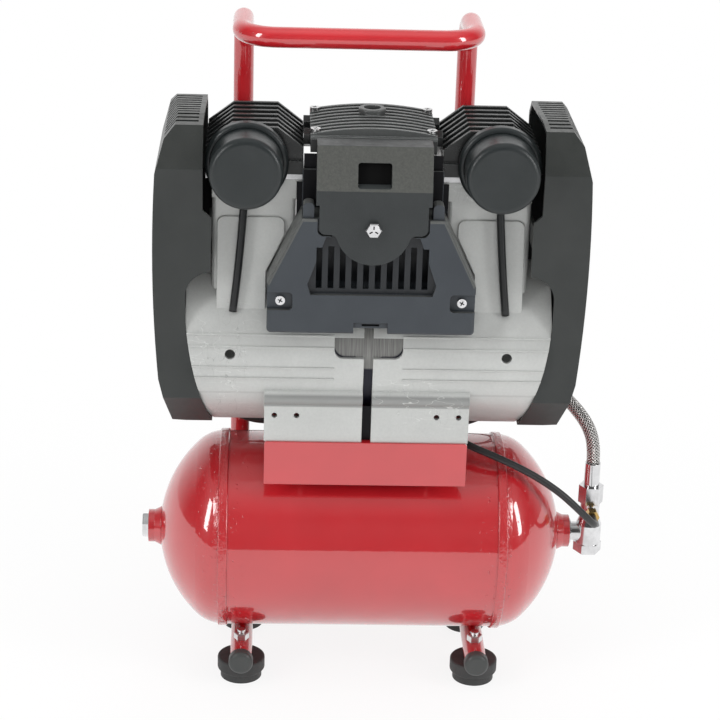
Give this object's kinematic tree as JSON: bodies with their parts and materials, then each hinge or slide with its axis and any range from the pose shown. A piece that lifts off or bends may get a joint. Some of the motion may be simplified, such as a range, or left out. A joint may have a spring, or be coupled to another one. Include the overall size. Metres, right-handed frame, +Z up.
{
  "type": "air compressor",
  "caption": "Portable oil-free air compressor: finned cylinder heads and louvred fan covers on a motor housing, over a lying tank with rubber feet, tube handle, hose and regulator.",
  "frame": {"origin": "on the floor, under the middle of the tank", "axes": "+X along the tank to the check valve, +Y to the back with the handle's uprights, +Z up"},
  "size_m": [0.4529, 0.2755, 0.634],
  "materials": {
    "red_paint": "gloss",
    "cast_aluminium": "satin",
    "plain_aluminium": "satin",
    "black_casting": "satin",
    "cover_plastic": "matte",
    "shroud_plastic": "matte",
    "black_plastic": "matte",
    "knob_red": "gloss",
    "rubber": "matte",
    "chrome": "polished",
    "steel": "satin",
    "iron": "matte",
    "copper_wire": "gloss",
    "brass": "satin",
    "filter_foam": "matte"
  },
  "bodies": {
    "base": {"box_bolt": "chrome", "braided_hose": "steel", "brass_fittings": "brass", "breather_tubes": "rubber", "cable_glands": "black_plastic", "case_screws": "chrome", "check_valve": "chrome", "cylinder_liners": "plain_aluminium", "fan_cover_left": "cover_plastic", "fan_cover_right": "cover_plastic", "filter_elements": "filter_foam", "foot_fasteners": "chrome", "gauges": "black_plastic", "handle": "red_paint", "head_bolts": "steel", "head_left": "black_casting", "head_right": "black_casting", "housing_left": "cast_aluminium", "housing_right": "cast_aluminium", "leads": "rubber", "leg_end_caps": "black_plastic", "leg_tubes": "red_paint", "main_bearings": "steel", "manifold": "black_casting", "manifold_fittings": "black_casting", "manifold_lid": "black_casting", "muffler_bases": "cover_plastic", "pressure_switch": "black_plastic", "regulator_body": "plain_aluminium", "rubber_feet": "rubber", "run_capacitor": "plain_aluminium", "saddle_front_rail": "red_paint", "saddle_rear_rail": "red_paint", "saddle_webs": "red_paint", "shroud": "shroud_plastic", "stator": "iron", "steel_fittings": "chrome", "switch_box": "cover_plastic", "tank_barrel": "red_paint", "tank_ends": "red_paint", "tank_sockets": "red_paint", "unloader_tube": "black_plastic", "valve_plates": "steel", "windings": "copper_wire"},
    "rotor": {"shaft": "steel", "rotor_core": "steel", "cranks": "iron", "fans": "black_plastic"},
    "rod_left": {"conrod_left": "plain_aluminium"},
    "rod_right": {"conrod_right": "plain_aluminium"},
    "pin_left": {"wrist_pin_left": "steel"},
    "pin_right": {"wrist_pin_right": "steel"},
    "slug_left": {"piston_left": "plain_aluminium"},
    "slug_right": {"piston_right": "plain_aluminium"},
    "cap_left": {"muffler_cap_left": "cover_plastic"},
    "cap_right": {"muffler_cap_right": "cover_plastic"},
    "power_knob": {"switch_knob": "knob_red"},
    "pressure_knob": {"regulator_knob": "black_plastic"},
    "pull_ring": {"safety_ring": "steel"},
    "tap": {"drain_tap": "brass"}
  },
  "joints": [
    {"name": "motor_spin", "type": "hinge", "parent": "base", "child": "rotor", "pos_m": [0, 0, 0.337], "axis": [1, 0, 0], "continuous": true},
    {"name": "rod_left_turn", "type": "hinge", "parent": "rotor", "child": "rod_left", "pos_m": [-0.107, 0, 0.342], "axis": [1, 0, 0], "continuous": true},
    {"name": "pin_left_turn", "type": "hinge", "parent": "rod_left", "child": "pin_left", "pos_m": [-0.107, 0, 0.475], "axis": [1, 0, 0], "continuous": true},
    {"name": "piston_left_guide", "type": "hinge", "parent": "pin_left", "child": "slug_left", "pos_m": [-0.107, 0, 0.48], "axis": [1, 0, 0], "continuous": true},
    {"name": "rod_right_turn", "type": "hinge", "parent": "rotor", "child": "rod_right", "pos_m": [0.107, 0, 0.332], "axis": [1, 0, 0], "continuous": true},
    {"name": "pin_right_turn", "type": "hinge", "parent": "rod_right", "child": "pin_right", "pos_m": [0.107, 0, 0.465], "axis": [1, 0, 0], "continuous": true},
    {"name": "piston_right_guide", "type": "hinge", "parent": "pin_right", "child": "slug_right", "pos_m": [0.107, 0, 0.46], "axis": [1, 0, 0], "continuous": true},
    {"name": "muffler_left_twist", "type": "hinge", "parent": "base", "child": "cap_left", "pos_m": [-0.114, -0.07, 0.5215], "axis": [0, -1, 0], "range_deg": [0, 40]},
    {"name": "muffler_right_twist", "type": "hinge", "parent": "base", "child": "cap_right", "pos_m": [0.114, -0.07, 0.5215], "axis": [0, -1, 0], "range_deg": [0, 40]},
    {"name": "power_turn", "type": "hinge", "parent": "base", "child": "power_knob", "pos_m": [0, 0.126, 0.24], "axis": [0, 0, 1], "range_deg": [0, 90]},
    {"name": "pressure_turn", "type": "hinge", "parent": "base", "child": "pressure_knob", "pos_m": [0.054, 0.126, 0.16], "axis": [0, 0, 1], "range_deg": [-360, 360]},
    {"name": "safety_pull", "type": "slide", "parent": "base", "child": "pull_ring", "axis": [-1, 0, 0], "range_m": [0, 0.004], "stiffness_N_per_m": 1500},
    {"name": "drain_turn", "type": "hinge", "parent": "base", "child": "tap", "pos_m": [0, 0.045, 0.03], "axis": [0, 0, -1], "range_deg": [0, 180]}
  ],
  "couplings": [
    {"joint": "rod_left_turn", "follows": "motor_spin", "ratio": -1},
    {"joint": "pin_left_turn", "follows": "motor_spin", "ratio": -1},
    {"joint": "piston_left_guide", "follows": "motor_spin", "ratio": 1},
    {"joint": "rod_right_turn", "follows": "motor_spin", "ratio": -1},
    {"joint": "pin_right_turn", "follows": "motor_spin", "ratio": -1},
    {"joint": "piston_right_guide", "follows": "motor_spin", "ratio": 1}
  ]
}
